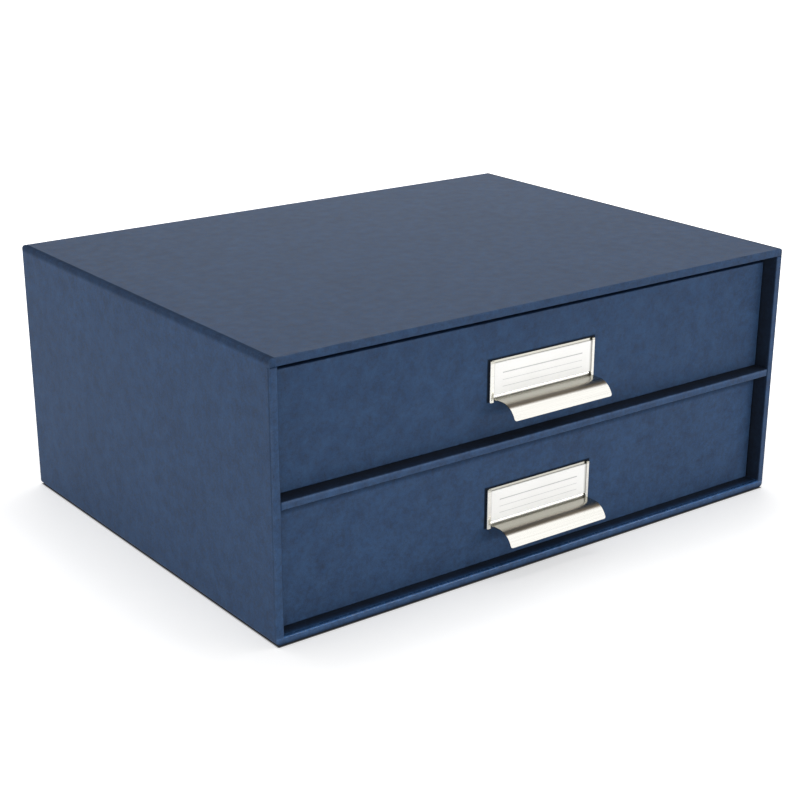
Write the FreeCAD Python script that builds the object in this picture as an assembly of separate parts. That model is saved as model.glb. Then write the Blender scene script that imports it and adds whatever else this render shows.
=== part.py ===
import FreeCAD, Part
import math
import os

# A desk drawer unit of paper-covered board: a case with two bays one above the other, and in each
# bay a drawer with a folded steel label holder whose lower edge rolls out into a finger pull.
# Sizes are in millimetres. +X points right along the front, +Y to the back and +Z up.
# The origin is the middle of the underside, on the surface that the unit stands on.

# Case
case_width = 330.0
case_depth = 250.0
case_height = 140.0
case_board = 3.6
fold_radius = 2.3
case_edge_radius = 0.8
top_side_radius = 1.6
shelf_drop = 0.35
case_turn_in = 15.0
base_sheet_inset = 4.0

# Paper, glue included: one thickness for the covering and for the lining
paper = 0.3
paper_seam = 0.3

# Drawers
drawer_board = 2.4
drawer_top_clearance = 4.0
drawer_recess = 8.2
drawer_edge_radius = 0.8
drawer_rim_radius = 0.5
drawer_turn_in = 12.0
drawer_side_clearance = 0.8
drawer_floor_clearance = 0.3
drawer_back_clearance = 0.3

# Label holder: a sheet steel plate, hemmed at both sides to hold the card
steel = 0.5
plate_width = 69.0
plate_height = 21.2
plate_drop = 0.6
card_slot = 0.7
hem_width = 2.1
relief_gap = 0.25

# Pull: the plate's lower edge, bent out level and rolled over into a slanting lip
pull_above_plate_bottom = 1.9
root_bend_radius = 1.2
pull_reach = 17.9
pull_drop = 7.1
pull_roll_radius = 10.0
pull_lip_angle = 63.0
pull_corner_radius = 1.2

# Card
card_thickness = 0.3
card_side_clearance = 0.3
card_seat_clearance = 0.3
card_top_margin = 1.4

# Rivets that hold the plate to the drawer's front
rivet_spacing = 44.0
rivet_shank_radius = 1.3
rivet_head_radius = 2.2
rivet_head_depth = 0.35
rivet_tail_radius = 2.0
rivet_tail_height = 0.8
rivet_tail_slope = 0.5
rivet_hole_clearance = 0.1
washer_radius = 3.6
washer_thickness = 0.5

# Walls: board with paper on both faces
case_wall = case_board + 2 * paper
drawer_wall = drawer_board + 2 * paper

# Planes of the case
half_width = case_width / 2
front = -case_depth / 2
rear = case_depth / 2
case_bottom = paper
side_top = case_height - case_wall
bay_half_width = half_width - case_wall
bay_back = rear - case_wall
lower_bay_floor = case_bottom + case_wall
bay_height = (side_top - lower_bay_floor - case_wall) / 2
shelf_bottom = lower_bay_floor + bay_height - shelf_drop
upper_bay_floor = shelf_bottom + case_wall

# Planes of a drawer, cut to fit the lower bay, which the shelf makes a little the lower of the two
drawer_height = shelf_bottom - lower_bay_floor - drawer_top_clearance
drawer_half_width = bay_half_width - drawer_side_clearance
drawer_front = front + drawer_recess
drawer_back = bay_back - drawer_back_clearance

# Planes of the label holder, measured out from the drawer's face
hem_fold_radius = steel + card_slot / 2
hem_inner_radius = card_slot / 2
plate_half_width = plate_width / 2
pull_half_width = plate_half_width - hem_width - relief_gap
card_play = (card_slot - card_thickness) / 2
card_half_width = plate_half_width - steel - card_side_clearance


def block(x0, x1, y0, y1, z0, z1):
    """A box between two planes on each axis."""
    return Part.makeBox(x1 - x0, y1 - y0, z1 - z0, FreeCAD.Vector(x0, y0, z0))


def on_plane(edge, axis, value):
    """Whether an edge lies wholly in the plane where one coordinate has a value."""
    box = edge.BoundBox
    low = {"x": box.XMin, "y": box.YMin, "z": box.ZMin}[axis]
    high = {"x": box.XMax, "y": box.YMax, "z": box.ZMax}[axis]
    close = 1e-4
    return abs(low - value) < close and abs(high - value) < close


def rounded(solid, radius, chosen):
    """The solid with the chosen edges rounded."""
    edges = [edge for edge in solid.Edges if chosen(edge)]
    return solid.makeFillet(radius, edges)


def bored(solid, holes):
    """The solid with the rivet holes cut through it."""
    for hole in holes:
        solid = solid.cut(hole)
    return solid


def without(solid, *others):
    """The solid less each of the others."""
    for other in others:
        solid = solid.cut(other)
    return solid


def trough(inset, y0, y1, top, fold=0.0):
    """A filled trough as deep as the case, inside its outer face by inset, folds rounded."""
    bottom = case_bottom + inset
    edge_x = half_width - inset
    solid = block(-edge_x, edge_x, y0, y1, bottom, top)
    if fold > 0:
        solid = rounded(solid, fold, lambda edge: on_plane(edge, "z", bottom)
                        and (on_plane(edge, "x", -edge_x) or on_plane(edge, "x", edge_x)))
    return solid


def case_shell():
    """Folded board of the sides and bottom, the paper wrapped round it, and its lining."""
    inner = paper + case_board
    board = trough(paper, front + paper, rear - paper, side_top - paper, fold_radius - paper)
    board = board.cut(trough(inner, front, rear, side_top))

    lining_front = front + case_turn_in + paper_seam
    lining_rear = rear - case_turn_in - paper_seam
    lining_top = side_top - case_turn_in - paper_seam
    lining = trough(inner, lining_front, lining_rear, lining_top)
    lining = lining.cut(trough(case_wall, front, rear, side_top))

    # The paper layer on the inner faces is the wrap's turned-in edge, then a seam, then the lining
    outside = trough(0, front, rear, side_top, fold_radius)
    outside = rounded(outside, case_edge_radius, lambda edge: on_plane(edge, "y", rear)
                      and not on_plane(edge, "z", side_top))
    outside = outside.cut(trough(case_wall, front, rear, side_top))
    outside = rounded(outside, case_edge_radius, lambda edge: on_plane(edge, "y", front))
    middle = trough(inner, front + case_turn_in, rear - case_turn_in, side_top - case_turn_in)
    wrap = without(outside, board, middle)
    return {"case_folded_board": board, "case_wrap_paper": wrap, "case_side_lining": lining}


def base_sheet():
    """Paper sheet pasted on the underside, set in from the edges, that the unit rests on."""
    edge_x = half_width - base_sheet_inset
    edge_y = rear - base_sheet_inset
    return block(-edge_x, edge_x, -edge_y, edge_y, 0, case_bottom)


def case_top():
    """Board laid over the sides and back, its paper folded round all edges, and its lining."""
    def slab(inset):
        """A slab inside the top's outer faces by inset, its side edges rounded above."""
        x1 = half_width - inset
        y1 = rear - inset
        z1 = case_height - inset
        solid = block(-x1, x1, -y1, y1, side_top + inset, z1)
        return rounded(solid, top_side_radius - inset, lambda edge: on_plane(edge, "z", z1)
                       and (on_plane(edge, "x", -x1) or on_plane(edge, "x", x1)))

    board = slab(paper)
    edge_x = half_width - case_turn_in
    edge_y = rear - case_turn_in
    middle = block(-edge_x, edge_x, -edge_y, edge_y, side_top, side_top + paper)
    gap = paper_seam
    lining = block(-edge_x + gap, edge_x - gap, -edge_y + gap, edge_y - gap,
                   side_top, side_top + paper)
    outside = rounded(slab(0), case_edge_radius,
                      lambda edge: on_plane(edge, "y", front) or on_plane(edge, "y", rear))
    wrap = without(outside, board, middle)
    return {"case_top_board": board, "case_top_paper": wrap, "case_top_lining": lining}


def case_back():
    """Board between the sides and under the top, with a sheet outside and a lining inside."""
    def panel(y0, y1):
        return block(-bay_half_width, bay_half_width, y0, y1, lower_bay_floor, side_top)

    return {"case_back_board": panel(rear - paper - case_board, rear - paper),
            "case_back_paper": panel(rear - paper, rear),
            "case_back_lining": panel(bay_back, bay_back + paper)}


def case_shelf():
    """Shelf between the bays: board with paper over the top, round the front edge and below."""
    top = upper_bay_floor

    def slab(inset, radius):
        y0 = front + inset
        solid = block(-bay_half_width, bay_half_width, y0, bay_back, shelf_bottom + inset, top - inset)
        return rounded(solid, radius, lambda edge: on_plane(edge, "y", y0))

    board = slab(paper, case_edge_radius - paper)
    wrap = slab(0, case_edge_radius).cut(board)
    return {"case_shelf_board": board, "case_shelf_paper": wrap}


def drawer_boards(floor):
    """Five glued boards: the base, the front and back on it, and the sides between those."""
    edge_x = drawer_half_width - paper
    y0 = drawer_front + paper
    y1 = drawer_back - paper
    base_top = floor + paper + drawer_board
    top = floor + drawer_height - paper
    board = drawer_board
    return {
        "base_board": block(-edge_x, edge_x, y0, y1, floor + paper, base_top),
        "front_board": block(-edge_x, edge_x, y0, y0 + board, base_top, top),
        "back_board": block(-edge_x, edge_x, y1 - board, y1, base_top, top),
        "left_board": block(-edge_x, -edge_x + board, y0 + board, y1 - board, base_top, top),
        "right_board": block(edge_x - board, edge_x, y0 + board, y1 - board, base_top, top),
    }


def drawer_inside(inset, z0, z1):
    """A block inside the drawer's outer faces by inset, between two heights."""
    edge_x = drawer_half_width - inset
    return block(-edge_x, edge_x, drawer_front + inset, drawer_back - inset, z0, z1)


def drawer_papers(floor, boards):
    """The wrap round the walls, turned in over the rim and under the base, and the linings."""
    rim = floor + drawer_height
    inner = paper + drawer_board
    base_top = floor + inner
    lining_top = rim - drawer_turn_in

    floor_lining = drawer_inside(inner, base_top, base_top + paper)
    wall_layer = drawer_inside(inner, base_top + paper, lining_top)
    wall_lining = drawer_inside(inner, base_top + paper, lining_top - paper_seam)
    cavity = drawer_inside(drawer_wall, base_top + paper, rim)
    under_layer = drawer_inside(drawer_turn_in, floor, floor + paper)
    under_sheet = drawer_inside(drawer_turn_in + paper_seam, floor, floor + paper)

    # The rear edges never leave the case and stay sharp
    outside = drawer_inside(0, floor, rim)
    outside = rounded(outside, drawer_edge_radius, lambda edge: not on_plane(edge, "z", rim)
                      and not on_plane(edge, "y", drawer_back))
    outside = outside.cut(cavity)
    outside = rounded(outside, drawer_rim_radius, lambda edge: on_plane(edge, "z", rim))
    wrap = without(outside, *boards.values(), floor_lining, wall_layer, under_layer)
    return {"wrap_paper": wrap, "wall_lining": wall_lining.cut(cavity),
            "floor_lining": floor_lining, "base_sheet": under_sheet}


def hemmed_plate(bottom):
    """The plate with both sides folded forward and back over it, as channels for the card."""
    back = drawer_front
    bend_x = plate_half_width - hem_fold_radius
    lip_x = plate_half_width - hem_width
    outer_y = back - 2 * hem_fold_radius
    inner_y = outer_y + steel
    face_y = back - steel
    middle_y = back - hem_fold_radius

    def point(x, y):
        return FreeCAD.Vector(x, y, bottom)

    def line(a, b):
        return Part.LineSegment(point(*a), point(*b)).toShape()

    def arc(a, b, c):
        return Part.Arc(point(*a), point(*b), point(*c)).toShape()

    def side(sign):
        """Hem of one side: back of the fold, lip, lip's edge and inside of the fold."""
        return [arc((sign * bend_x, back), (sign * plate_half_width, middle_y), (sign * bend_x, outer_y)),
                line((sign * bend_x, outer_y), (sign * lip_x, outer_y)),
                line((sign * lip_x, outer_y), (sign * lip_x, inner_y)),
                line((sign * lip_x, inner_y), (sign * bend_x, inner_y)),
                arc((sign * bend_x, inner_y), (sign * (bend_x + hem_inner_radius), middle_y),
                    (sign * bend_x, face_y))]

    edges = side(1) + side(-1)
    edges.append(line((-bend_x, back), (bend_x, back)))
    edges.append(line((-bend_x, face_y), (bend_x, face_y)))
    section = Part.Face(Part.Wire(Part.__sortEdges__(edges)))
    return section.extrude(FreeCAD.Vector(0, 0, plate_height))


def pull_sheet(root):
    """The tongue: bent out of the plate at the root, level, rolled over, then a slanting lip."""
    angle = math.radians(pull_lip_angle)
    tip_out, tip_up = pull_reach, root - pull_drop
    corner = tip_out - pull_drop / math.tan(angle)
    setback = pull_roll_radius * math.tan(angle / 2)
    roll_start = corner - setback
    bend_end = steel + root_bend_radius

    def point(out, up):
        return FreeCAD.Vector(-pull_half_width, drawer_front - out, up)

    def rolled(radius, turn):
        """A point of the roll, at a radius about its centre and a turn from level."""
        centre_up = root - pull_roll_radius
        return point(roll_start + radius * math.sin(turn), centre_up + radius * math.cos(turn))

    def bent(radius, turn):
        """A point of the root's bend, at a radius about its centre and a turn from the plate."""
        centre_up = root + root_bend_radius
        return point(bend_end - radius * math.cos(turn), centre_up - radius * math.sin(turn))

    half, quarter = angle / 2, math.pi / 4
    tip = point(tip_out, tip_up)
    tip_under = point(tip_out - steel * math.sin(angle), tip_up - steel * math.cos(angle))
    under = pull_roll_radius - steel
    bend_under = root_bend_radius + steel
    level_under = root - steel
    edges = [
        Part.Arc(bent(root_bend_radius, 0), bent(root_bend_radius, quarter),
                 point(bend_end, root)).toShape(),
        Part.LineSegment(point(bend_end, root), point(roll_start, root)).toShape(),
        Part.Arc(point(roll_start, root), rolled(pull_roll_radius, half),
                 rolled(pull_roll_radius, angle)).toShape(),
        Part.LineSegment(rolled(pull_roll_radius, angle), tip).toShape(),
        Part.LineSegment(tip, tip_under).toShape(),
        Part.LineSegment(tip_under, rolled(under, angle)).toShape(),
        Part.Arc(rolled(under, angle), rolled(under, half), point(roll_start, level_under)).toShape(),
        Part.LineSegment(point(roll_start, level_under), point(bend_end, level_under)).toShape(),
        Part.Arc(point(bend_end, level_under), bent(bend_under, quarter), bent(bend_under, 0)).toShape(),
        Part.LineSegment(bent(bend_under, 0), bent(root_bend_radius, 0)).toShape(),
    ]
    section = Part.Face(Part.Wire(edges))
    sheet = section.extrude(FreeCAD.Vector(2 * pull_half_width, 0, 0))

    def tip_corner(edge):
        ends = [vertex.Point for vertex in edge.Vertexes]
        near = all(min(end.distanceToPoint(FreeCAD.Vector(end.x, tip.y, tip.z)),
                       end.distanceToPoint(FreeCAD.Vector(end.x, tip_under.y, tip_under.z))) < 1e-4
                   for end in ends)
        return near and abs(edge.Length - steel) < 1e-4

    return rounded(sheet, pull_corner_radius, tip_corner)


def label_holder(bottom, holes):
    """Plate, hems and pull in one sheet, with countersunk holes for the rivets."""
    root = bottom + pull_above_plate_bottom
    bend_top = root + root_bend_radius
    opening = pull_half_width + relief_gap
    relief = block(-opening, opening, drawer_front - steel, drawer_front, bottom, bend_top)
    plate = hemmed_plate(bottom).cut(relief)
    return bored(plate.fuse(pull_sheet(root)).removeSplitter(), holes)


def rivet_places(bottom):
    """Centres of the two rivets on the drawer's face."""
    height = bottom + plate_height / 2
    return [FreeCAD.Vector(sign * rivet_spacing / 2, drawer_front, height) for sign in (-1, 1)]


def turned(profile, place):
    """A solid of revolution about Y from (radius, distance in from the drawer's face) points."""
    points = [FreeCAD.Vector(place.x + radius, place.y + depth, place.z) for radius, depth in profile]
    face = Part.Face(Part.makePolygon(points + points[:1]))
    return face.revolve(place, FreeCAD.Vector(0, 1, 0), 360)


def rivet(place):
    """Flush head in the plate, shank through the front, and a tail spread over the washer."""
    head = -steel
    washer_face = drawer_wall + washer_thickness
    tail = washer_face + rivet_tail_height
    return turned([(0, head), (rivet_head_radius, head),
                   (rivet_shank_radius, head + rivet_head_depth),
                   (rivet_shank_radius, washer_face), (rivet_tail_radius, washer_face),
                   (rivet_tail_radius - rivet_tail_slope, tail), (0, tail)], place)


def rivet_hole(place):
    """The room for a rivet through the plate and the front: its own shape and a clearance."""
    gap = rivet_hole_clearance
    head = -steel
    end = drawer_wall + washer_thickness
    return turned([(0, head - gap), (rivet_head_radius + gap, head - gap),
                   (rivet_head_radius + gap, head),
                   (rivet_shank_radius + gap, head + rivet_head_depth),
                   (rivet_shank_radius + gap, end), (0, end)], place)


def washer(place):
    """Flat washer under the rivet's tail, on the lining."""
    bore = rivet_shank_radius + rivet_hole_clearance
    near = drawer_wall
    far = near + washer_thickness
    return turned([(bore, near), (washer_radius, near), (washer_radius, far), (bore, far)], place)


def label_card(bottom):
    """Card between the plate and the hems, just above its seat on the pull's root."""
    seat = bottom + pull_above_plate_bottom + root_bend_radius + card_seat_clearance
    back = drawer_front - steel - card_play
    return block(-card_half_width, card_half_width, back - card_thickness, back,
                 seat, bottom + plate_height - card_top_margin)


def drawer(floor):
    """Every piece of a drawer that stands at a height, by name."""
    plate_bottom = floor + drawer_height / 2 - plate_drop - plate_height / 2
    places = rivet_places(plate_bottom)
    holes = [rivet_hole(place) for place in places]
    boards = drawer_boards(floor)
    papers = drawer_papers(floor, boards)
    pieces = dict(boards)
    pieces.update(papers)
    for name in ("front_board", "wrap_paper", "wall_lining"):
        pieces[name] = bored(pieces[name], holes)
    pieces["label_holder"] = label_holder(plate_bottom, holes)
    pieces["holder_rivets"] = Part.makeCompound([rivet(place) for place in places])
    pieces["rivet_washers"] = Part.makeCompound([washer(place) for place in places])
    pieces["label_card"] = label_card(plate_bottom)
    return pieces


def build():
    """Every node of the unit, by name."""
    nodes = {"case_base_sheet": base_sheet()}
    for group in (case_shell(), case_top(), case_back(), case_shelf()):
        nodes.update(group)
    bays = {"lower": lower_bay_floor, "upper": upper_bay_floor}
    for bay, bay_floor in bays.items():
        for name, shape in drawer(bay_floor + drawer_floor_clearance).items():
            nodes[bay + "_" + name] = shape
    return nodes


os.makedirs("parts", exist_ok=True)
for node, shape in build().items():
    shape.exportStep("parts/" + node + ".step")
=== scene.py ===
import math

import bpy
from mathutils import Matrix, Quaternion, Vector

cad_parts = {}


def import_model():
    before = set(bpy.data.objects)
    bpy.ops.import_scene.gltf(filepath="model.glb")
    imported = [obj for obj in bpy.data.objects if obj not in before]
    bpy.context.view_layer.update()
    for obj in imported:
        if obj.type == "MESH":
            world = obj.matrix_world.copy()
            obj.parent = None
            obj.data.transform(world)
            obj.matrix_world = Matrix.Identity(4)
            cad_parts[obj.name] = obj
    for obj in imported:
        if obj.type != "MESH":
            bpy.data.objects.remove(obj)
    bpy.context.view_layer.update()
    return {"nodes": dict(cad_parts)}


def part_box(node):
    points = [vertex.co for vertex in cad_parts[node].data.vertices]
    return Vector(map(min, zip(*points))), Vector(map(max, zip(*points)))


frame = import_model()

# Camera, fitted to the case's straight edges: to the left of the front, looking down, with a little roll
CAMERA_PLACE = Vector((-0.52793, -0.70398, 0.36070))
CAMERA_AZIMUTH = math.radians(-36.94)
CAMERA_ELEVATION = math.radians(21.11)
CAMERA_ROLL = math.radians(0.191)
CAMERA_LENS = 74.54
CAMERA_SHIFT = (-0.0041, 0.0637)
CAMERA_CLIP = (0.01, 100)

# Places on the object, from the frame. The opening is what the case's sides leave free at the front.
BAYS = ("lower", "upper")
CASE_LOW, CASE_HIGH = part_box("case_wrap_paper")
CASE_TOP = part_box("case_top_paper")[1].z
TOP_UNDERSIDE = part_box("case_top_paper")[0].z
SHELF_LOW, SHELF_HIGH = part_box("case_shelf_paper")
OPENING_HALF = SHELF_HIGH.x
BASE_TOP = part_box("case_back_paper")[0].z
BAY_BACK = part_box("case_back_lining")[0].y
FRONT = CASE_LOW.y

# Noises: scale per metre, or one scale for each axis where the noise is stretched, layers and roughness
GRAIN = (1500, 2.0, 0.6)
FELT = (430, 3.0, 0.6)
MOTTLE = (150, 2.0, 0.5)
CLOUD = (32, 3.0, 0.5)
RUBBING = (90, 4.0, 0.7)
CREASES = ((90, 900, 900), 3.0, 0.6)
BOARD_FIBRE = (900, 4.0, 0.7)
BOARD_FLECK = (260, 2.0, 0.5)
BRUSH_LINE = ((14, 2600, 2600), 3.0, 0.6)
BRUSH_BAND = ((6, 420, 420), 2.0, 0.5)
CARD_FIBRE = (1300, 3.0, 0.6)
CARD_CLOUD = (70, 2.0, 0.5)
FLOOR_SPECKLE = (60, 3.0, 0.5)

# The range that holds most of a noise's values, and the finer noise's share where two are added
NOISE_RANGE = (0.3, 0.7)
FINER_SHARE = 0.6

# Paper's colours and gloss. Colours are linear, here and below.
PAPER_DEEP = (0.0152, 0.0442, 0.1095, 1)
PAPER_PALE = (0.0170, 0.0466, 0.1095, 1)
PAPER_WORN = (0.052, 0.084, 0.150, 1)
PAPER_ROUGHNESS = (0.62, 0.74)
DEEP_ROUGHNESS = 0.6
PAPER_SPECULAR = 0.30

# How strongly paper's grain, felt, mottle and cloud show, and how high its grain and felt are in metres
PATTERN_DEPTHS = (0.80, 1.20, 0.70, 0.26)
GRAIN_HEIGHT = 0.000024
FELT_HEIGHT = 0.000032
PAPER_RELIEF = (1.0, 1.0)

# Wear along paper's edges, in metres from the edge, and the range of the noise that breaks it up
EDGE_WEAR = 0.5
WEAR_WIDTH = 0.0011
WEAR_RANGE = (0.35, 0.7)
# Darkening along the rear and right edges: its share, how far from the edge it stays full, and where those
# edges' mask starts inboard, with a fade
FAR_DARKENING = 0.6
FAR_DARKENING_START = 0.0003
FAR_INSET = 0.0012
FAR_FADE = 0.0004

# How far a mask reaches past the face that it is for, and the width over which it fades, in metres
REACH = 0.0004
SHORT_REACH = 0.0003
SIDE_REACH = 0.0001
FADE = 0.0005
SHORT_FADE = 0.0003
FACE_FADE = 0.0006
LONG_FADE = 0.001

# The case's painted shade and highlights, as shares of the paper's own tone: two distances in metres, and
# the tones at each
LEDGE_NEAR = (0.002, 0.004, 1.7, 0.65)
LEDGE_DEEP = (0.004, 0.006, 1.0, 0.5)
RECESS_WALL = (0.001, 0.006, 0.30, 0.20)
FOLD_FOOT = (0.0006, 0.0018, 0.3, 1.0)
FOLD_HEAD = (0.0014, 0.0038, 0.85, 1.6)
SHELF_RECESS = (0.001, 0.0055, 0.50, 0.25)
SHELF_FOLD = (0.0008, 0.0018, 1.25, 1.0)
LINING_DEPTH = (0.0, 0.01, 0.70, 0.75)

# A painted shade line down each outer side: its range behind the front, its fade, how far outside the
# opening it starts, and its tones at the floor and under the top
SIDE_SHADE_LINE = (0.0012, 0.0017)
SIDE_SHADE_LINE_FADE = 0.0004
SIDE_SHADE_LINE_START = 0.0035
SIDE_SHADE_LINE_TONES = (0.90, 0.70)

# The top's side folds: their width, its fade, their fall as a share of it and their painted shade's tone,
# then how far below the top the painted shade reaches and how far behind the front it starts, each with a
# fade
TOP_FOLD = 0.003
FOLD_FADE = 0.0004
FOLD_FALL = 0.5
FOLD_TONE = 0.68
FOLD_BELOW = (0.0020, 0.0018)
FOLD_BEHIND = (0.001, 0.0006)

# The top's front edge: how far below the top its painted shade starts, with a fade, and the shade's tone
TOP_FRONT_BELOW = (0.0006, 0.0006)
TOP_FRONT_TONE = 0.90

# Small creases along the top's front edge: their height, their depth, and how they grow towards the sides
CREASE_HEIGHT = 0.0004
CREASED_DEPTH = 0.005
CREASED_SIDES = (0.06, 0.16, 0.35, 1.0)

# Drawers' painted shade: their tones, along their upper edges, and a dark rim round a label holder's plate
DRAWER_TONE = {"lower": 0.98, "upper": 0.93}
SHADED_DEPTH = (0.0005, 0.0030)
SHADED_TONE = {"lower": 0.55, "upper": 1.0}
PLATE_HEIGHT = 0.0212
PLATE_FADE = 0.0004
# A painted shadow rim round the plate
PLATE_SHADOW_RIM = (0.0006, 0.0013, 0.15, 1.0)

# Grey board
BOARD_DEEP = (0.30, 0.275, 0.24, 1)
BOARD_PALE = (0.42, 0.39, 0.345, 1)
FLECK_COLOUR = (0.16, 0.14, 0.12, 1)
FLECK_RANGE = (0.66, 0.72, 0.0, 0.5)
BOARD_ROUGHNESS = 0.9
BOARD_RELIEF = (0.6, 0.00006)

# Plated steel
STEEL_LOW = (0.625, 0.615, 0.575, 1)
STEEL_HIGH = (0.72, 0.71, 0.67, 1)
# Painted reflections: grey on the pull's level part and the plate's upper strip, dark in the bend
STEEL_GREY_REFLECTION = (0.455, 0.442, 0.385, 1)
STEEL_DARK_REFLECTION = (0.31, 0.26, 0.195, 1)
HOLDER_ROUGHNESS = (0.11, 0.19)
RIVET_ROUGHNESS = (0.3, 0.42)
DARK_ROUGHNESS = 0.22
STEEL_RELIEF = (0.35, 0.00001)

# Where a label holder has painted grey or dark reflections: the root of its pull, then distances above the
# root, in front of the drawer and above the card, in metres, most with a fade
ROOT_BELOW_CARD = 0.0015
PULL_TOP = (0.0008, 0.0006)
LEVEL_PART = (0.0025, 0.0115)
LEVEL_FADE = 0.0010
BEND_START = (0.0122, 0.0037)
BEND_END = (0.0130, 0.0012)
UPPER_STRIP = (0.0, 0.0003, 0.0, 0.75)

# Card
CARD_DEEP = (0.925, 0.92, 0.895, 1)
CARD_PALE = (0.97, 0.965, 0.945, 1)
CARD_INK = (0.17, 0.17, 0.18, 1)
# The colour of the painted shadow along the hems
CARD_HEM_SHADOW = (0.40, 0.39, 0.37, 1)
CARD_RANGE = (0.35, 0.65)
CARD_ROUGHNESS = 0.6
CARD_RELIEF = (0.3, 0.00002)

# Its rules: height as a share of the card's, half the width in metres and the ink's strength, then half
# their length with its fade, and the share of the width that is fully inked
CARD_RULES = ((0.66, 0.00026, 0.62), (0.43, 0.00014, 0.45), (0.22, 0.00014, 0.45))
RULE_END = (0.0262, 0.0002)
RULE_CORE = 0.8
INK_RANGE = (0.3, 0.6, 0.7, 1.0)

# How far from its middle a card has a painted shadow along the hems
HEM_SHADOW_SIDES = (0.0312, 0.0316, 0.0, 0.4)

# Floor. It glows for the camera and in mirrors only, and more so further from the object: a painted shade
# round it.
FLOOR_HALF = 12.0
FLOOR_DROP = 0.0002
FLOOR_DEEP = (0.78, 0.78, 0.78, 1)
FLOOR_PALE = (0.82, 0.82, 0.82, 1)
FLOOR_GLOW = 0.46
GLOW_NEAR = (0.03, 0.14, 0.0, 0.26)
GLOW_FAR = (0.14, 1.0, 0.0, 0.25)

# The shade at the case's foot, and how far inside its outline the rounded lower edges meet the floor
FOOT_SHADE = (0.0, 0.0011, 0.03, 1.0)
SIDE_LIFT = 0.0012
END_LIFT = 0.0004

# Lamps: name, azimuth, elevation and turn about the lamp's own axis in degrees, distance, width and height
# in metres, and level
LAMPS = (
    ("front_lamp", 20, 4, 0, 2.6, 2.2, 0.45, 0.39),
    ("fill_lamp", -30, 16, 0, 2.6, 1.6, 0.80, 0.23),
    ("back_lamp", 143, 14, 0, 2.6, 2.6, 0.90, 0.28),
    ("left_lamp", -92, 5, 0, 2.6, 2.4, 0.60, 0.385),
    ("top_lamp", 165, 80, 0, 2.2, 1.8, 1.3, 0.60),
    ("strip_lamp", 50, 38, -35, 1.8, 0.64, 2.0, 0.165),
)
WORLD_LIGHT = 0.18
WHITE = (1, 1, 1, 1)


# Nodes


def new_material(name):
    """A new material, the tree of its nodes and its Principled shader."""
    material = bpy.data.materials.new(name)
    material.use_nodes = True
    tree = material.node_tree
    return material, tree, tree.nodes["Principled BSDF"]


def add(tree, kind, settings=None, *values, **named):
    """A new node with its settings, its first inputs given in order and others by name."""
    node = tree.nodes.new(kind)
    for name, value in (settings or {}).items():
        setattr(node, name, value)
    for socket, value in zip(node.inputs, values):
        put(tree, socket, value)
    for name, value in named.items():
        put(tree, node.inputs[name], value)
    return node


def put(tree, socket, value):
    """Links a socket to another node's output, or sets its value."""
    if isinstance(value, bpy.types.NodeSocket):
        tree.links.new(value, socket)
    else:
        socket.default_value = value


def maths(tree, operation, *values):
    """The output of a Math node."""
    return add(tree, "ShaderNodeMath", {"operation": operation}, *values).outputs[0]


def plus(tree, a, b):
    """The sum of two values."""
    return maths(tree, "ADD", a, b)


def minus(tree, a, b):
    """The first value less the second."""
    return maths(tree, "SUBTRACT", a, b)


def times(tree, *values):
    """The product of two or more values."""
    product = values[0]
    for value in values[1:]:
        product = maths(tree, "MULTIPLY", product, value)
    return product


def least(tree, a, b):
    """The smaller of two values."""
    return maths(tree, "MINIMUM", a, b)


def most(tree, a, b):
    """The larger of two values."""
    return maths(tree, "MAXIMUM", a, b)


def size_of(tree, value):
    """A value without its sign."""
    return maths(tree, "ABSOLUTE", value)


def rest_of(tree, share):
    """What a share leaves of one."""
    return minus(tree, 1.0, share)


def ramp(tree, value, low, high, out_low=0.0, out_high=1.0):
    """A value mapped from one range to another, and kept inside it."""
    return add(tree, "ShaderNodeMapRange", None, value, low, high, out_low, out_high).outputs[0]


def before(tree, value, edge, fade):
    """One before an edge, fading to nought after it."""
    return ramp(tree, value, edge, edge + fade, 1.0, 0.0)


def beyond(tree, value, edge, fade):
    """One beyond an edge, rising from nought before it."""
    return ramp(tree, value, edge - fade, edge)


def within(tree, value, span, fade):
    """One between the ends of a span, fading to nought outside them."""
    start, end = span
    return times(tree, beyond(tree, value, start, fade), before(tree, value, end, fade))


def where(tree, mask, tone):
    """A tone where a mask is one, and one where it is nought."""
    return plus(tree, 1.0, times(tree, mask, minus(tree, tone, 1.0)))


def noise(tree, point, scale, layers, roughness):
    """The value of a noise texture, around one half. A scale for each axis stretches it."""
    if isinstance(scale, tuple):
        point = add(tree, "ShaderNodeMapping", None, Vector=point, Scale=scale).outputs["Vector"]
        scale = 1.0
    node = add(tree, "ShaderNodeTexNoise", None, Vector=point, Scale=scale, Detail=layers,
               Roughness=roughness)
    return node.outputs["Fac"]


def added(tree, finer, coarser):
    """Two noises in one, the finer one with the larger share."""
    return plus(tree, times(tree, finer, FINER_SHARE), times(tree, coarser, 1 - FINER_SHARE))


def blend(tree, share, first, second):
    """A colour between two. A Mix node's colour sockets share their names, and go by their places."""
    node = add(tree, "ShaderNodeMix", {"data_type": "RGBA"}, share)
    put(tree, node.inputs[6], first)
    put(tree, node.inputs[7], second)
    return node.outputs[2]


def scaled(tree, colour, factor):
    """A colour made lighter or darker by a factor."""
    node = add(tree, "ShaderNodeVectorMath", {"operation": "SCALE"}, Vector=colour, Scale=factor)
    return node.outputs["Vector"]


def object_point(tree):
    """The point on the surface, in the frame's metres."""
    return add(tree, "ShaderNodeTexCoord").outputs["Object"]


def coordinates(tree, point):
    """The three coordinates of a point."""
    return add(tree, "ShaderNodeSeparateXYZ", None, point).outputs


def edge_distance(tree, place, low, high):
    """Distance along a box's surface to its nearest edge: the middle one of the distances to its faces."""
    near = []
    for axis in range(3):
        centre = (low[axis] + high[axis]) / 2
        half = (high[axis] - low[axis]) / 2
        offset = size_of(tree, minus(tree, place[axis], centre))
        near.append(size_of(tree, minus(tree, half, offset)))
    a, b, c = near
    return most(tree, least(tree, a, b), least(tree, most(tree, a, b), c))


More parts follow.
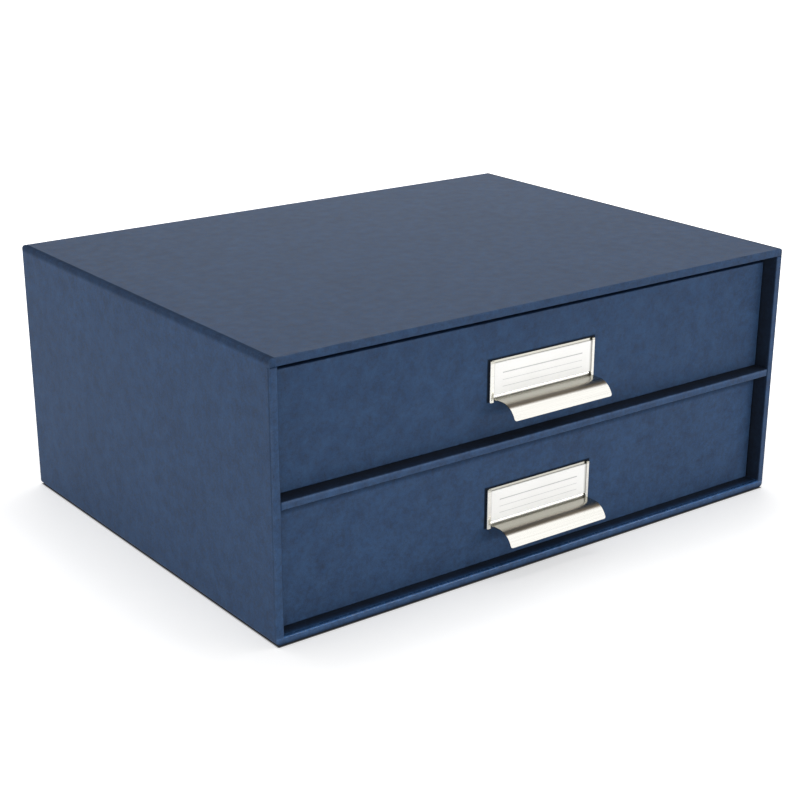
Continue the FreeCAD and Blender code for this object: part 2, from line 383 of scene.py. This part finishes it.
def surface(tree, shader, colour, roughness, height, relief):
    """Gives a shader its colour, roughness and bumps.

    relief has the bumps' strength, and how many metres a height of one is.
    """
    strength, distance = relief
    bump = add(tree, "ShaderNodeBump", None, Strength=strength, Distance=distance, Height=height)
    put(tree, shader.inputs["Base Color"], colour)
    put(tree, shader.inputs["Roughness"], roughness)
    put(tree, shader.inputs["Normal"], bump.outputs["Normal"])


# Paper


def covering_paper(name, low, high, wear=EDGE_WEAR, far_darkening=0.0, tone=None, height=None):
    """Matt dyed paper with a fine felt grain, faint clouds, and lighter where it folds over an edge.

    A share given for the far edges darkens the rear and right edges, fading inwards.
    tone gives a colour factor of painted shade and highlights, and height a relief in metres, both from the
    point's place.
    """
    material, tree, shader = new_material(name)
    point = object_point(tree)
    grain, felt, mottle, cloud = (noise(tree, point, *pattern) for pattern in (GRAIN, FELT, MOTTLE, CLOUD))
    factor = 1.0
    for pattern, depth in zip((grain, felt, mottle, cloud), PATTERN_DEPTHS):
        factor = plus(tree, factor, times(tree, minus(tree, pattern, 0.5), depth))
    place = coordinates(tree, point)
    edge = edge_distance(tree, place, low, high)
    far = most(tree, beyond(tree, place[0], high.x - FAR_INSET, FAR_FADE),
               beyond(tree, place[1], high.y - FAR_INSET, FAR_FADE))
    place_tone = rest_of(tree, times(tree, far, ramp(tree, edge, FAR_DARKENING_START, WEAR_WIDTH, far_darkening, 0.0)))
    if tone:
        place_tone = times(tree, place_tone, tone(tree, *place))
    rub = ramp(tree, noise(tree, point, *RUBBING), *WEAR_RANGE)
    worn = times(tree, before(tree, edge, 0.0, WEAR_WIDTH), rub, wear, rest_of(tree, far))
    colour = blend(tree, ramp(tree, mottle, *NOISE_RANGE), PAPER_DEEP, PAPER_PALE)
    colour = scaled(tree, blend(tree, worn, colour, PAPER_WORN), times(tree, factor, place_tone))
    relief = plus(tree, times(tree, grain, GRAIN_HEIGHT), times(tree, felt, FELT_HEIGHT))
    if height:
        relief = plus(tree, relief, height(tree, *place))
    deep = times(tree, rest_of(tree, place_tone), DEEP_ROUGHNESS)
    rough = plus(tree, ramp(tree, felt, *NOISE_RANGE, *PAPER_ROUGHNESS), deep)
    rough.node.use_clamp = True
    surface(tree, shader, colour, rough, relief, PAPER_RELIEF)
    shader.inputs["Specular IOR Level"].default_value = PAPER_SPECULAR
    return material


def case_tone(tree, x, y, z):
    """Painted shade in the recess and bays, painted light and shade on the bottom's front fold, and down
    the sides.
    """
    side = size_of(tree, x)
    depth = minus(tree, y, FRONT)
    inside = times(tree, before(tree, side, OPENING_HALF + SIDE_REACH, FADE),
                   beyond(tree, z, BASE_TOP - REACH, FADE), before(tree, y, BAY_BACK, LONG_FADE))
    ledge = times(tree, inside, before(tree, z, BASE_TOP + SHORT_REACH, FADE))
    # Painted light near the ledge's front and painted shade deeper in, and painted shade on the recess
    # walls
    ledge_tone = times(tree, ramp(tree, depth, *LEDGE_NEAR), ramp(tree, depth, *LEDGE_DEEP))
    wall = times(tree, inside, rest_of(tree, ledge))
    front = times(tree, before(tree, depth, REACH, SHORT_FADE),
                  before(tree, z, BASE_TOP - SHORT_REACH, SHORT_FADE))
    # Painted shade at the foot of the bottom's front fold, and a painted highlight above it
    front_tone = times(tree, ramp(tree, z, *FOLD_FOOT), ramp(tree, z, *FOLD_HEAD))
    # A painted shade line down each outer side, just behind the front edge
    shade_line = times(tree, within(tree, depth, SIDE_SHADE_LINE, SIDE_SHADE_LINE_FADE),
                   beyond(tree, side, OPENING_HALF + SIDE_SHADE_LINE_START, FADE))
    shade_line_tone = ramp(tree, z, 0.0, TOP_UNDERSIDE, *SIDE_SHADE_LINE_TONES)
    return times(tree, where(tree, ledge, ledge_tone), where(tree, wall, ramp(tree, depth, *RECESS_WALL)),
                 where(tree, front, front_tone), where(tree, shade_line, shade_line_tone))


def top_tone(tree, x, y, z):
    """Painted shade along the top's side folds and on its front edge."""
    inboard = minus(tree, CASE_HIGH.x, size_of(tree, x))
    below = minus(tree, CASE_TOP, z)
    depth = minus(tree, y, FRONT)
    # Painted shade along the side folds, then on the front edge
    fold = times(tree, before(tree, inboard, TOP_FOLD - FOLD_FADE / 2, FOLD_FADE),
                 before(tree, below, *FOLD_BELOW), beyond(tree, depth, *FOLD_BEHIND))
    front = times(tree, before(tree, depth, SHORT_REACH, SHORT_FADE), beyond(tree, below, *TOP_FRONT_BELOW))
    return times(tree, where(tree, fold, FOLD_TONE), where(tree, front, TOP_FRONT_TONE))


def top_height(tree, x, y, z):
    """The relief of the top's side folds, which fall to the sides, and of the creases at its front edge."""
    side = size_of(tree, x)
    fall = ramp(tree, minus(tree, CASE_HIGH.x, side), 0.0, TOP_FOLD, -FOLD_FALL * TOP_FOLD, 0.0)
    point = add(tree, "ShaderNodeCombineXYZ", None, x, y, z).outputs["Vector"]
    near = before(tree, minus(tree, y, FRONT), 0.0, CREASED_DEPTH)
    outer = ramp(tree, side, *CREASED_SIDES)
    return plus(tree, fall, times(tree, noise(tree, point, *CREASES), near, outer, CREASE_HEIGHT))


def shelf_tone(tree, x, y, z):
    """Painted shade on the shelf's upper face, in the recess, and a painted highlight along its upper fold.
    """
    depth = minus(tree, y, FRONT)
    below = minus(tree, SHELF_HIGH.z, z)
    above = before(tree, below, SIDE_REACH, SHORT_FADE)
    front = before(tree, depth, SHORT_REACH, SHORT_FADE)
    return times(tree, where(tree, above, ramp(tree, depth, *SHELF_RECESS)),
                 where(tree, front, ramp(tree, below, *SHELF_FOLD)))


def lining_tone(tree, x, y, z):
    """Deeper all over, for the insides that little light reaches."""
    return ramp(tree, minus(tree, y, FRONT), *LINING_DEPTH)


def drawer_tone(bay):
    """Painted shade on a drawer's paper: all over, and on its front round the holder and under the shelf.
    """
    low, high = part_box(bay + "_wrap_paper")
    plate_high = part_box(bay + "_label_holder")[1]
    plate_foot = plate_high.z - PLATE_HEIGHT

    def tone(tree, x, y, z):
        face = before(tree, y, low.y + REACH, FACE_FADE)
        across = minus(tree, size_of(tree, x), plate_high.x)
        middle = plate_foot + PLATE_HEIGHT / 2
        along = minus(tree, size_of(tree, minus(tree, z, middle)), PLATE_HEIGHT / 2)
        round_plate = times(tree, face, beyond(tree, z, plate_foot, PLATE_FADE))
        # Painted shadow round the plate
        rim_shadow = ramp(tree, most(tree, across, along), *PLATE_SHADOW_RIM)
        shaded = ramp(tree, minus(tree, high.z, z), *SHADED_DEPTH, SHADED_TONE[bay], 1.0)
        return times(tree, DRAWER_TONE[bay], where(tree, round_plate, rim_shadow), where(tree, face, shaded))

    return tone


# Board, steel and card


def grey_board(name):
    """Bare grey board: pressed fibres, with flecks."""
    material, tree, shader = new_material(name)
    point = object_point(tree)
    fibre = noise(tree, point, *BOARD_FIBRE)
    fleck = noise(tree, point, *BOARD_FLECK)
    colour = blend(tree, ramp(tree, fibre, *NOISE_RANGE), BOARD_DEEP, BOARD_PALE)
    colour = blend(tree, ramp(tree, fleck, *FLECK_RANGE), colour, FLECK_COLOUR)
    surface(tree, shader, colour, BOARD_ROUGHNESS, fibre, BOARD_RELIEF)
    return material


def brushed_steel(name, roughness, shading=None):
    """Plated steel, brushed along its width. shading gives the shares of painted grey and dark reflections
    by place.
    """
    material, tree, shader = new_material(name)
    point = object_point(tree)
    lines = noise(tree, point, *BRUSH_LINE)
    brushing = added(tree, lines, noise(tree, point, *BRUSH_BAND))
    colour = blend(tree, ramp(tree, lines, *NOISE_RANGE), STEEL_LOW, STEEL_HIGH)
    rough = ramp(tree, brushing, *NOISE_RANGE, *roughness)
    if shading:
        grey_reflection, dark_reflection = shading(tree, *coordinates(tree, point))
        colour = blend(tree, grey_reflection, colour, STEEL_GREY_REFLECTION)
        colour = blend(tree, dark_reflection, colour, STEEL_DARK_REFLECTION)
        rough = plus(tree, rough, times(tree, dark_reflection, DARK_ROUGHNESS))
    surface(tree, shader, colour, rough, brushing, STEEL_RELIEF)
    shader.inputs["Metallic"].default_value = 1.0
    return material


def holder_shading(bay):
    """Painted reflections on a label holder: grey on its pull's level part and upper edge, dark in the
    bend.
    """
    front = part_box(bay + "_wrap_paper")[0].y
    card_low, card_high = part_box(bay + "_label_card")
    root = card_low.z - ROOT_BELOW_CARD

    def shading(tree, x, y, z):
        out = minus(tree, front, y)
        pull = before(tree, minus(tree, z, root), *PULL_TOP)
        level = times(tree, pull, within(tree, out, LEVEL_PART, LEVEL_FADE))
        strip = ramp(tree, minus(tree, z, card_high.z), *UPPER_STRIP)
        dark_reflection = times(tree, pull, beyond(tree, out, *BEND_START), before(tree, out, *BEND_END))
        return most(tree, level, strip), dark_reflection

    return shading


def ruled_card(bay):
    """Off-white card with a heading rule and two writing rules, and a painted shadow along the hems that
    hold it.
    """
    low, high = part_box(bay + "_label_card")
    material, tree, shader = new_material(bay + "_label_card")
    point = object_point(tree)
    fibre = noise(tree, point, *CARD_FIBRE)
    fibres = added(tree, fibre, noise(tree, point, *CARD_CLOUD))
    colour = blend(tree, ramp(tree, fibres, *CARD_RANGE), CARD_DEEP, CARD_PALE)
    x, _, z = coordinates(tree, point)
    side = size_of(tree, x)
    inked = times(tree, before(tree, side, *RULE_END), ramp(tree, fibre, *INK_RANGE))
    for share, half_width, strength in CARD_RULES:
        away = size_of(tree, minus(tree, z, low.z + share * (high.z - low.z)))
        line = before(tree, away, half_width * RULE_CORE, half_width * 2 * (1 - RULE_CORE))
        colour = blend(tree, times(tree, line, inked, strength), colour, CARD_INK)
    # Painted shadow along the hems
    colour = blend(tree, ramp(tree, side, *HEM_SHADOW_SIDES), colour, CARD_HEM_SHADOW)
    surface(tree, shader, colour, CARD_ROUGHNESS, fibre, CARD_RELIEF)
    return material


# The object


def dress(material, slot, group, *names):
    """Gives a material to pieces of the case or of one drawer. Its slot is not used."""
    for name in names:
        piece = frame["nodes"][group + "_" + name]
        piece.data.materials.clear()
        piece.data.materials.append(material)


def dress_all():
    """Every CAD node's finish."""
    case_high = Vector((CASE_HIGH.x, CASE_HIGH.y, CASE_TOP))
    board = grey_board("grey_board")
    rivets = brushed_steel("rivet_metal", RIVET_ROUGHNESS)
    sides = covering_paper("case_side_paper", CASE_LOW, case_high, far_darkening=FAR_DARKENING, tone=case_tone)
    top = covering_paper("case_top_paper", CASE_LOW, case_high, far_darkening=FAR_DARKENING, tone=top_tone,
                         height=top_height)
    shelf = covering_paper("case_shelf_paper", SHELF_LOW, SHELF_HIGH, tone=shelf_tone)
    lining = covering_paper("lining_paper", CASE_LOW, case_high, wear=0.0, tone=lining_tone)
    dress(sides, "cover_paper", "case", "wrap_paper", "base_sheet", "back_paper")
    dress(top, "cover_paper", "case", "top_paper")
    dress(shelf, "cover_paper", "case", "shelf_paper")
    dress(lining, "lining_paper", "case", "side_lining", "back_lining", "top_lining")
    dress(board, "grey_board", "case", "folded_board", "top_board", "back_board", "shelf_board")
    for bay in BAYS:
        low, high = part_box(bay + "_wrap_paper")
        paper = covering_paper(bay + "_drawer_paper", low, high, tone=drawer_tone(bay))
        steel = brushed_steel(bay + "_holder_steel", HOLDER_ROUGHNESS, holder_shading(bay))
        dress(paper, "cover_paper", bay, "wrap_paper", "base_sheet")
        dress(lining, "lining_paper", bay, "wall_lining", "floor_lining")
        dress(board, "grey_board", bay, "base_board", "front_board", "back_board", "left_board",
              "right_board")
        dress(steel, "holder_steel", bay, "label_holder")
        dress(rivets, "rivet_metal", bay, "holder_rivets", "rivet_washers")
        dress(ruled_card(bay), "card_stock", bay, "label_card")


# Surroundings


def direction(azimuth, elevation):
    """The way to a place, from its azimuth, from the front to the right, and elevation, in radians."""
    return Vector((math.sin(azimuth) * math.cos(elevation), -math.cos(azimuth) * math.cos(elevation),
                   math.sin(elevation)))


def make_camera():
    """The camera at the photograph's viewing angle."""
    data = bpy.data.cameras.new("camera")
    camera = bpy.data.objects.new("camera", data)
    bpy.context.scene.collection.objects.link(camera)
    back = direction(CAMERA_AZIMUTH, CAMERA_ELEVATION)
    level = (-back).cross(Vector((0, 0, 1))).normalized()
    upright = level.cross(-back)
    right = level * math.cos(CAMERA_ROLL) + upright * math.sin(CAMERA_ROLL)
    up = upright * math.cos(CAMERA_ROLL) - level * math.sin(CAMERA_ROLL)
    turn = Matrix((right, up, back)).transposed().to_4x4()
    camera.matrix_world = Matrix.Translation(CAMERA_PLACE) @ turn
    data.lens = CAMERA_LENS
    data.shift_x, data.shift_y = CAMERA_SHIFT
    data.clip_start, data.clip_end = CAMERA_CLIP
    bpy.context.scene.camera = camera


def empty_tree(owner):
    """The emptied node tree of a material or a world."""
    owner.use_nodes = True
    owner.node_tree.nodes.clear()
    return owner.node_tree


def seen(tree, *kinds):
    """One for the camera's rays and those of the given kinds, and nought for the rest."""
    path = add(tree, "ShaderNodeLightPath")
    share = path.outputs["Is Camera Ray"]
    for kind in kinds:
        share = most(tree, share, path.outputs["Is " + kind + " Ray"])
    return share


def show(tree, kind, shader):
    """The output node of a material or a world, linked to its shader."""
    tree.links.new(shader.outputs[0], add(tree, kind).inputs["Surface"])


def make_floor():
    """Pale floor that shows as white where nothing shades it, with painted shade near the object and at its
    foot.
    """
    mesh = bpy.data.meshes.new("floor")
    h = FLOOR_HALF
    mesh.from_pydata([(-h, -h, 0), (h, -h, 0), (h, h, 0), (-h, h, 0)], [], [(0, 1, 2, 3)])
    floor = bpy.data.objects.new("floor", mesh)
    bpy.context.scene.collection.objects.link(floor)
    floor.location.z = -FLOOR_DROP
    material = bpy.data.materials.new("floor")
    tree = empty_tree(material)
    point = object_point(tree)
    place = coordinates(tree, point)
    squares = []
    for axis, contact in enumerate((CASE_HIGH.x - SIDE_LIFT, CASE_HIGH.y - END_LIFT)):
        outside = most(tree, minus(tree, size_of(tree, place[axis]), contact), 0.0)
        squares.append(times(tree, outside, outside))
    away = maths(tree, "SQRT", plus(tree, *squares))
    foot = ramp(tree, away, *FOOT_SHADE)
    # The glow is weaker near the object: a painted shade round it
    white = plus(tree, FLOOR_GLOW, plus(tree, ramp(tree, away, *GLOW_NEAR), ramp(tree, away, *GLOW_FAR)))
    colour = blend(tree, noise(tree, point, *FLOOR_SPECKLE), FLOOR_DEEP, FLOOR_PALE)
    plain = add(tree, "ShaderNodeBsdfDiffuse", None, Color=scaled(tree, colour, foot))
    strength = times(tree, seen(tree, "Glossy", "Transmission"), white, foot)
    glow = add(tree, "ShaderNodeEmission", None, Color=WHITE, Strength=strength)
    both = add(tree, "ShaderNodeAddShader", None, plain.outputs[0], glow.outputs[0])
    show(tree, "ShaderNodeOutputMaterial", both)
    mesh.materials.append(material)


def soft_lamp(name, azimuth, elevation, turn, distance, width, height, level):
    """A soft light panel. Its level is the share of full white that it alone gives a surface facing it."""
    data = bpy.data.lights.new(name, "AREA")
    data.shape = "RECTANGLE"
    data.size, data.size_y = width, height
    data.energy = level * math.pi ** 2 * distance ** 2
    lamp = bpy.data.objects.new(name, data)
    bpy.context.scene.collection.objects.link(lamp)
    out = direction(math.radians(azimuth), math.radians(elevation))
    lamp.location = Vector((0, 0, CASE_TOP / 2)) + out * distance
    lamp.rotation_mode = "QUATERNION"
    lamp.rotation_quaternion = out.to_track_quat("Z", "Y") @ Quaternion((0, 0, 1), math.radians(turn))
    lamp.visible_camera = False


def make_light():
    """White surroundings, and soft light panels, most of them low."""
    world = bpy.data.worlds.new("world")
    bpy.context.scene.world = world
    tree = empty_tree(world)
    strength = ramp(tree, seen(tree, "Transmission"), 0.0, 1.0, WORLD_LIGHT, 1.0)
    glow = add(tree, "ShaderNodeBackground", None, Color=WHITE, Strength=strength)
    show(tree, "ShaderNodeOutputWorld", glow)
    for lamp in LAMPS:
        soft_lamp(*lamp)


dress_all()
make_camera()
make_floor()
make_light()
bpy.context.scene.view_settings.view_transform = "Standard"
